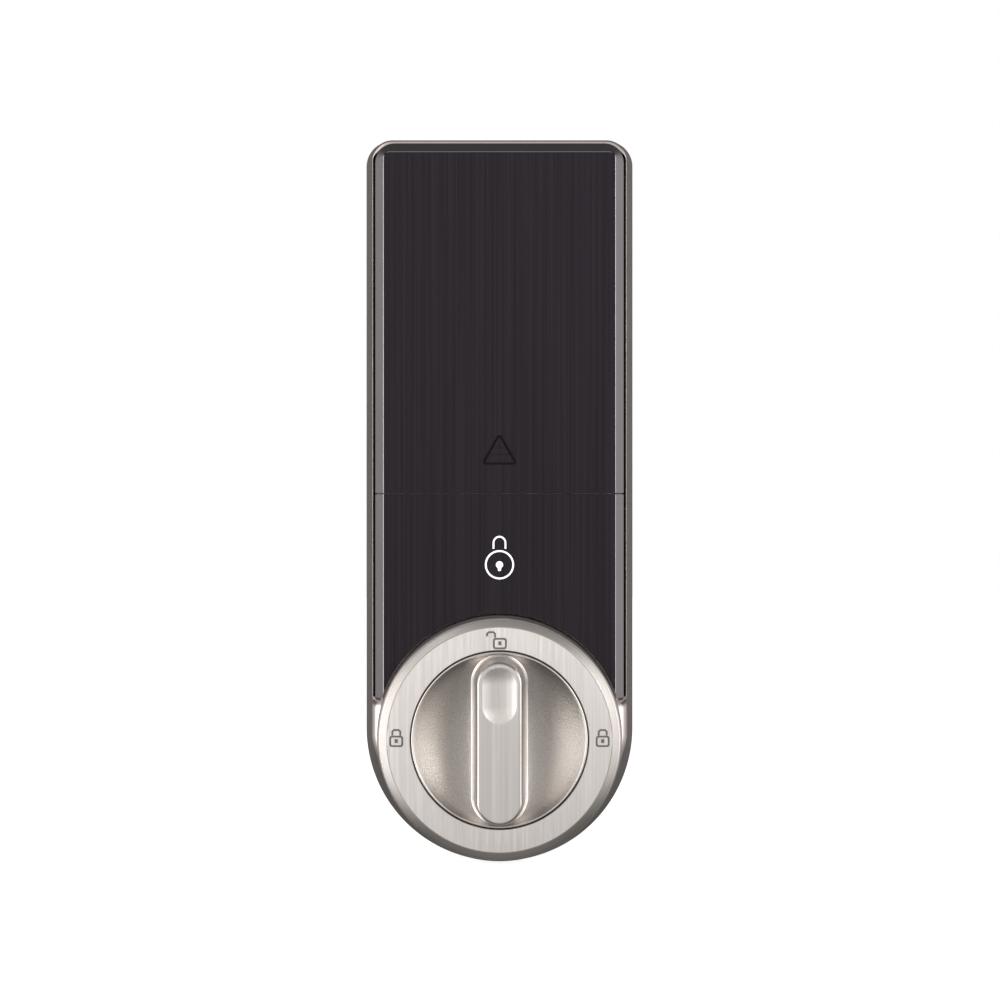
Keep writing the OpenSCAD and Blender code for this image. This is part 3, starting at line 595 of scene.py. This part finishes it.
def arrow_corners(inset=0.0):
    """Corners of the push arrow's triangle."""
    low = ARROW_Y - 0.35 + inset
    w = 4.75 - inset * 1.75
    return [(-w, low), (w, low), (0, ARROW_Y + 8.05 - inset * 2.1)]


def make_battery_cover():
    y0 = SEAM_Y + SEAM_GAP
    rings = []
    for half, z in chamfer_steps(FACE_HALF - 0.12):
        back = COVER_HALF - half
        corner = max(0.7, 5.0 - 1.5 * back)
        rings.append(lift(cover_outline(half, y0, COVER_TOP - 1.2 * back, corner, 0.12), z))
    # The recess wall and the floor under the sheet are painted near-black as shade, seen in the gaps round
    # the sheet and the arrow
    cover = loft("battery_cover_body", rings, [0] * (len(rings) - 2) + [1, 1])
    # Open inside, and open on the side of the seam
    cut(cover, loft("cave", [lift(cover_outline(h, y0 - 1, t, c, 0.1), z) for h, t, c, z in (
        (COVER_HALF - COVER_WALL, COVER_TOP - COVER_WALL, 3.7, SKIRT_Z - 1),
        (COVER_HALF - COVER_WALL, COVER_TOP - COVER_WALL, 3.7, 27.0),
        (FACE_HALF - 0.6, COVER_TOP - 3.1, 1.0, INSIDE_Z))]))
    parts = [cover]
    for x in RAILS_X:
        for side in (-1, 1):
            a, b = sorted((x + side * 2.6, x + side * 3.6))
            c, d = sorted((x + side * 1.3, x + side * 2.7))
            parts.append(block("rail", a, b, 63, 148, 25.0, INSIDE_Z + 0.2))
            parts.append(block("lip", c, d, 63, 148, 25.0, 26.0))
    # Stepped push arrow that shows in the sheet's opening
    _, (x1, low), (_, top) = arrow_corners(0.62)
    levels = [low, 71.45, 73.1, top - 0.25]
    for a, b in zip(levels, levels[1:]):
        wa = x1 * (top - a) / (top - low)
        wb = x1 * (top - b) / (top - low)
        za, zb = FACE_Z - 0.10, FACE_Z - 0.34
        points = [(-wa, a, 30.4), (wa, a, 30.4), (wb, b, 30.4), (-wb, b, 30.4),
                  (-wa, a, za), (wa, a, za), (wb, b, zb), (-wb, b, zb)]
        faces = [[3, 2, 1, 0], [4, 5, 6, 7], [0, 1, 5, 4], [1, 2, 6, 5], [2, 3, 7, 6], [3, 0, 4, 7]]
        parts.append(new_object("step", points, faces, [2] * 6))
    return smooth(join("battery_cover_body", parts), 32)


def make_cover_sheet():
    half = FACE_HALF - SHEET_INSET
    y0 = SEAM_Y + SEAM_GAP
    sheet = loft("cover_sheet", [lift(cover_outline(half - p, y0 + p, COVER_TOP - 2.92 - p, 0.7, 0.1), z)
                                 for p, z in ((0, SHEET_Z + 0.01), (0, FACE_Z - 0.04), (0.04, FACE_Z))])
    hole = rounded_polygon(arrow_corners(), 0.85, 8)
    cut(sheet, loft("arrow", [lift(hole, SHEET_Z - 1), lift(hole, FACE_Z + 1)]))
    return smooth(sheet, 30)


def make_lower_panel():
    top = SEAM_Y - SEAM_GAP
    rings = []
    for half, z in chamfer_steps(FACE_HALF - 0.12):
        rings.append(lift(cover_outline(half, PANEL_BOTTOM, top, 0.12, 0.7), z))
    # The recess wall and the floor under the sheet are painted near-black as shade, seen in the gap round
    # the sheet
    panel = loft("lower_panel_body", rings, [0] * (len(rings) - 2) + [1, 1])
    cut(panel, block("cave", COVER_WALL - COVER_HALF, COVER_HALF - COVER_WALL, PANEL_BOTTOM - 1, top + 1,
                     SKIRT_Z - 1, INSIDE_Z))
    cut(panel, disc("round", (0, 0), RING_R + 0.35, SKIRT_Z - 2, FACE_Z + 2, 192))
    cut(panel, disc("light", (0, ICON_Y), LIGHT_R, INSIDE_Z - 0.4, FACE_Z))
    parts = [panel]
    for p in PANEL_SCREWS:
        parts.append(revolve("post", [(1.02, 24.51), (2.2, 24.51), (2.2, 29.5), (1.02, 29.5)], 32, p))
    return smooth(join("lower_panel_body", parts), 32)


def make_panel_sheet():
    half = FACE_HALF - SHEET_INSET
    top = SEAM_Y - SEAM_GAP
    sheet = loft("panel_sheet", [lift(cover_outline(half - p, 9.7 + p, top - p, 0.1, 0.4), z)
                                 for p, z in ((0, SHEET_Z + 0.01), (0, FACE_Z - 0.04), (0.04, FACE_Z))])
    cut(sheet, disc("round", (0, 0), RING_R + 0.42, SHEET_Z - 1, FACE_Z + 1, 192))
    cut(sheet, touch_symbol("symbol", SHEET_Z - 1, FACE_Z + 1, 0.02))
    return smooth(sheet, 30)


piece(make_battery_cover(), "cover", "cover_metal", "battery_cover", extra=("recess_shade", "dark_brushed"))
piece(make_cover_sheet(), "cover", "dark_brushed", "cover_faceplate")
piece(make_lower_panel(), "body", "cover_metal", "lower_panel", extra=("recess_shade",))
piece(make_panel_sheet(), "body", "dark_brushed", "panel_faceplate")
piece(touch_symbol("touch_symbol", SHEET_Z + 0.02, FACE_Z - 0.01), "body", "icon_white", "touch_icon")


# ---------------------------------------------------------------- bezel ring

def make_ring():
    inner = KNOB_R + 0.2
    profile = [(inner, 24.5), (inner + 1.5, 24.5), (inner + 1.5, 33.0), (RING_R - 1.8, 33.0),
               (RING_R - 1.5, 24.5), (RING_R - 0.1, 24.5), (RING_R, 24.6), (RING_R, 27.5)]
    profile += [(30.62, 33.4), (30.5, 34.0), (30.28, 34.5), (29.95, 34.83), (29.5, 35.08),
                (28.75, 35.5), (28.4, 35.7), (28.05, 35.84)]
    profile += [(inner + 0.2, RING_Z), (inner + 0.1, 35.97), (inner + 0.03, 35.9), (inner, 35.8)]
    flat = len(profile) - 5
    # The rounded edges of the face and the bore wall take the darker copy of the ring metal, a painted shade
    marks = [1] * (flat - 4) + [3] * 4 + [0] + [3] * 4
    ring = revolve("bezel_ring_turned", profile, 288, marks=marks)
    cut(ring, join("locks", [engraved_lock((-25.75, 0.6), False), engraved_lock((25.75, 0.6), False),
                             engraved_lock((0.1, 25.0), True)]))
    for face in ring.data.polygons:
        x, y, z = (c / MM for c in face.center)
        if inner + 0.5 < math.hypot(x, z) < 28 and -y < RING_Z - 0.3:
            face.material_index = 2
    return smooth(ring, 28)


piece(make_ring(), "body", "ring_metal", "bezel_ring", extra=("ring_side", "engraved", "shaded_ring_bevel"))


# ---------------------------------------------------------------- knob

KNOB_POINTS = 288
FOOT_W, FOOT_L = 7.2, 21.45            # half width and half length of the bar's foot
FOOT_STRAIGHT = FOOT_L - FOOT_W


def bar_places():
    """Where each point round the knob lands on the bar: x and y round its end, then -1 to 1 along it."""
    places = []
    for i in range(KNOB_POINTS):
        a = TAU * i / KNOB_POINTS
        c = Vector((KNOB_R * math.cos(a), KNOB_R * math.sin(a)))
        if abs(c.y) <= FOOT_STRAIGHT:
            places.append((math.copysign(1, c.x), 0.0, c.y / FOOT_STRAIGHT))
        else:
            u = (c - Vector((0, math.copysign(FOOT_STRAIGHT, c.y)))).normalized()
            places.append((u.x, u.y, math.copysign(1, c.y)))
    return places


def scoop_depth(x, y, rim_r):
    """Finger scoops beside the bar: steep at the rim, nearly level where the bar stands in them."""
    y = abs(y)
    bar = math.sqrt(max(0.0, FOOT_W ** 2 - max(0.0, y - FOOT_STRAIGHT) ** 2))
    edge = math.sqrt(max(1e-6, rim_r ** 2 - y * y))
    u = min(1.0, max(0.0, (abs(x) - bar) / max(0.05, edge - bar)))
    along = max(0.0, 1 - (y / (0.985 * rim_r)) ** 2.3)
    return 4.5 * along * (1 - u ** 2.2 - 0.14 * (1 - u) ** 5)


def make_knob():
    """Lofted up the skirt, over the rim, down into the scoops, up the bar and into its dimple."""
    blast, face, edge, bar_side = range(4)
    places = bar_places()
    rings = []
    marks = []

    def add(ring, mark):
        rings.append(ring)
        marks.append(mark)

    def circle(r, z):
        return [(r * math.cos(TAU * i / KNOB_POINTS), r * math.sin(TAU * i / KNOB_POINTS), z)
                for i in range(KNOB_POINTS)]

    def stadium(w, length, yc, z):
        return [(w * p[0], yc + w * p[1] + p[2] * (length - w), z) for p in places]

    add(circle(KNOB_R - 0.15, 26.4), edge)
    add(circle(KNOB_R, 26.55), edge)
    rim = 0.35
    for degrees in range(0, 127, 18):
        add(circle(KNOB_R - rim + rim * math.cos(math.radians(degrees)),
                   RING_Z - rim + rim * math.sin(math.radians(degrees))), edge)
    rim_ring = rings[-1]
    rim_r = rim_ring[0][0]
    foot = stadium(FOOT_W, FOOT_L, 0, RING_Z - 0.35)
    steps = 36
    for k in range(1, steps + 1):
        t = 1 - k / steps
        ring = []
        for p, q in zip(rim_ring, foot):
            x, y = q[0] + (p[0] - q[0]) * t, q[1] + (p[1] - q[1]) * t
            ring.append((x, y, q[2] + (p[2] - q[2]) * t - scoop_depth(x, y, rim_r)))
        add(ring, blast)
    # A bead round the bar's foot, and the bar's sides up to the same height all round
    floor = [p[2] for p in rings[-1]]
    for w, length, up, mark in ((7.12, 21.37, 0.18, edge), (6.95, 21.2, 0.26, edge),
                                (6.78, 21.03, 0.16, edge), (6.6, 20.85, 0.3, bar_side)):
        add([(p[0], p[1], z + up) for p, z in zip(stadium(w, length, 0, 0), floor)], mark)
    # The bar's rounded edge and its face
    for w, length, z, mark in ((5.72, 20.1, 43.3, bar_side), (5.66, 20.04, 43.9, edge),
                               (5.55, 19.93, 44.42, edge), (5.38, 19.76, 44.76, edge),
                               (5.15, 19.53, 44.94, edge), (4.88, 19.26, GRIP_Z, edge)):
        add(stadium(w, length, 0, z), mark)
    # Thumb dimple
    dimple_w, dimple_l, dimple_y, dimple_depth, steps = 4.32, 6.95, 11.7, 0.65, 17
    for k in range(steps):
        s = 1 - k / steps
        add(stadium(dimple_w * s, dimple_l - dimple_w * (1 - s), dimple_y,
                    GRIP_Z - dimple_depth * (1 - s * s)), face)
    return smooth(loft("knob_casting", rings, marks[1:] + [face]), 24)


piece(make_knob(), "thumbturn", "knob_metal", "knob", extra=("knob_face", "knob_edge", "ring_side"))


# ---------------------------------------------------------------- carried-over CAD pieces

slot_of = {s["node"]: s["material_slot"] for s in frame["record"]["subparts"]}
for name, obj in nodes.items():
    obj.data.materials.clear()
    obj.data.materials.append(MATERIALS[slot_of[name]])
    if not obj.hide_render:
        weld = obj.modifiers.new("weld", "WELD")
        weld.merge_threshold = 1e-6
        creases = obj.modifiers.new("creases", "EDGE_SPLIT")
        creases.split_angle = math.radians(28)
        obj.modifiers.new("normals", "WEIGHTED_NORMAL")


# ---------------------------------------------------------------- room

def make_floor():
    size, z = 1.6, -0.0355
    mesh = bpy.data.meshes.new("floor")
    mesh.from_pydata([(-size, -size, z), (size, -size, z), (size, size, z), (-size, size, z)], [],
                     [(0, 1, 2, 3)])
    obj = bpy.data.objects.new("floor", mesh)
    bpy.context.scene.collection.objects.link(obj)
    mesh.materials.append(Paint("floor_paint", (0.9, 0.9, 0.9), 0.0, 0.9, Emission_Color=(1, 1, 1, 1),
                                Emission_Strength=0.75).mat)
    obj.visible_glossy = False
    obj.visible_diffuse = False


make_floor()


def make_world():
    """White for the camera; for the object, a dim room with soft boxes in a few directions."""
    world = bpy.data.worlds.new("studio")
    bpy.context.scene.world = world
    world.use_nodes = True
    tree = world.node_tree
    tree.nodes.clear()
    link = tree.links.new
    out = tree.nodes.new("ShaderNodeOutputWorld")
    place = tree.nodes.new("ShaderNodeTexCoord")
    total = None
    boxes = [
        # direction, inner and outer edge as cosines, strength
        ((0.0, -1.0, 0.12), 0.985, 0.80, 0.66),
        ((0.0, -1.0, 0.0), 0.95, 0.10, 0.22),
        ((-0.80, -0.50, -0.02), 0.96, 0.80, 4.2),
        ((0.85, -0.50, 0.08), 0.96, 0.80, 2.8),
        ((0.0, -0.60, 0.90), 0.96, 0.78, 0.45),
        ((0.0, -0.60, -0.90), 0.96, 0.78, 0.30),
        ((-1.0, 0.30, 0.10), 0.95, 0.75, 0.60),
        ((1.0, 0.30, 0.10), 0.95, 0.75, 0.72),
    ]
    for direction, inner, outer, strength in boxes:
        dot = tree.nodes.new("ShaderNodeVectorMath")
        dot.operation = "DOT_PRODUCT"
        dot.inputs[1].default_value = Vector(direction).normalized()
        link(place.outputs["Generated"], dot.inputs[0])
        ramp = tree.nodes.new("ShaderNodeMapRange")
        ramp.interpolation_type = "SMOOTHSTEP"
        ramp.inputs["From Min"].default_value = outer
        ramp.inputs["From Max"].default_value = inner
        ramp.inputs["To Max"].default_value = strength
        link(dot.outputs["Value"], ramp.inputs["Value"])
        if total is None:
            total = ramp.outputs["Result"]
        else:
            add = tree.nodes.new("ShaderNodeMath")
            add.operation = "ADD"
            link(total, add.inputs[0])
            link(ramp.outputs["Result"], add.inputs[1])
            total = add.outputs[0]
    base = tree.nodes.new("ShaderNodeMath")
    base.operation = "ADD"
    base.inputs[1].default_value = 0.10
    link(total, base.inputs[0])
    light = tree.nodes.new("ShaderNodeBackground")
    link(base.outputs[0], light.inputs["Strength"])
    light.inputs["Color"].default_value = (1.0, 0.985, 0.97, 1)
    white = tree.nodes.new("ShaderNodeBackground")
    white.inputs["Color"].default_value = (1, 1, 1, 1)
    path = tree.nodes.new("ShaderNodeLightPath")
    mix = tree.nodes.new("ShaderNodeMixShader")
    link(path.outputs["Is Camera Ray"], mix.inputs["Fac"])
    link(light.outputs[0], mix.inputs[1])
    link(white.outputs[0], mix.inputs[2])
    link(mix.outputs[0], out.inputs["Surface"])


make_world()


def area_light(name, place, target, size, watts):
    data = bpy.data.lights.new(name, "AREA")
    data.shape = "DISK"
    data.size = size
    data.energy = watts
    obj = bpy.data.objects.new(name, data)
    bpy.context.scene.collection.objects.link(obj)
    obj.location = place
    obj.rotation_mode = "QUATERNION"
    obj.rotation_quaternion = (Vector(target) - Vector(place)).to_track_quat("-Z", "Y")
    obj.visible_camera = False
    return obj


area_light("key", (-0.55, -0.75, 0.75), (0, 0, 0.05), 0.35, 1.5)
area_light("fill", (0.7, -0.8, 0.3), (0, 0, 0.05), 0.4, 2.0)

camera_data = bpy.data.cameras.new("camera")
camera = bpy.data.objects.new("camera", camera_data)
bpy.context.scene.collection.objects.link(camera)
camera.location = (0.00013, -0.6, 0.0599)
camera.rotation_euler = (math.radians(90), 0, 0)
camera_data.lens = 81.4
camera_data.clip_start = 0.01
bpy.context.scene.camera = camera
bpy.context.scene.view_settings.view_transform = "Standard"
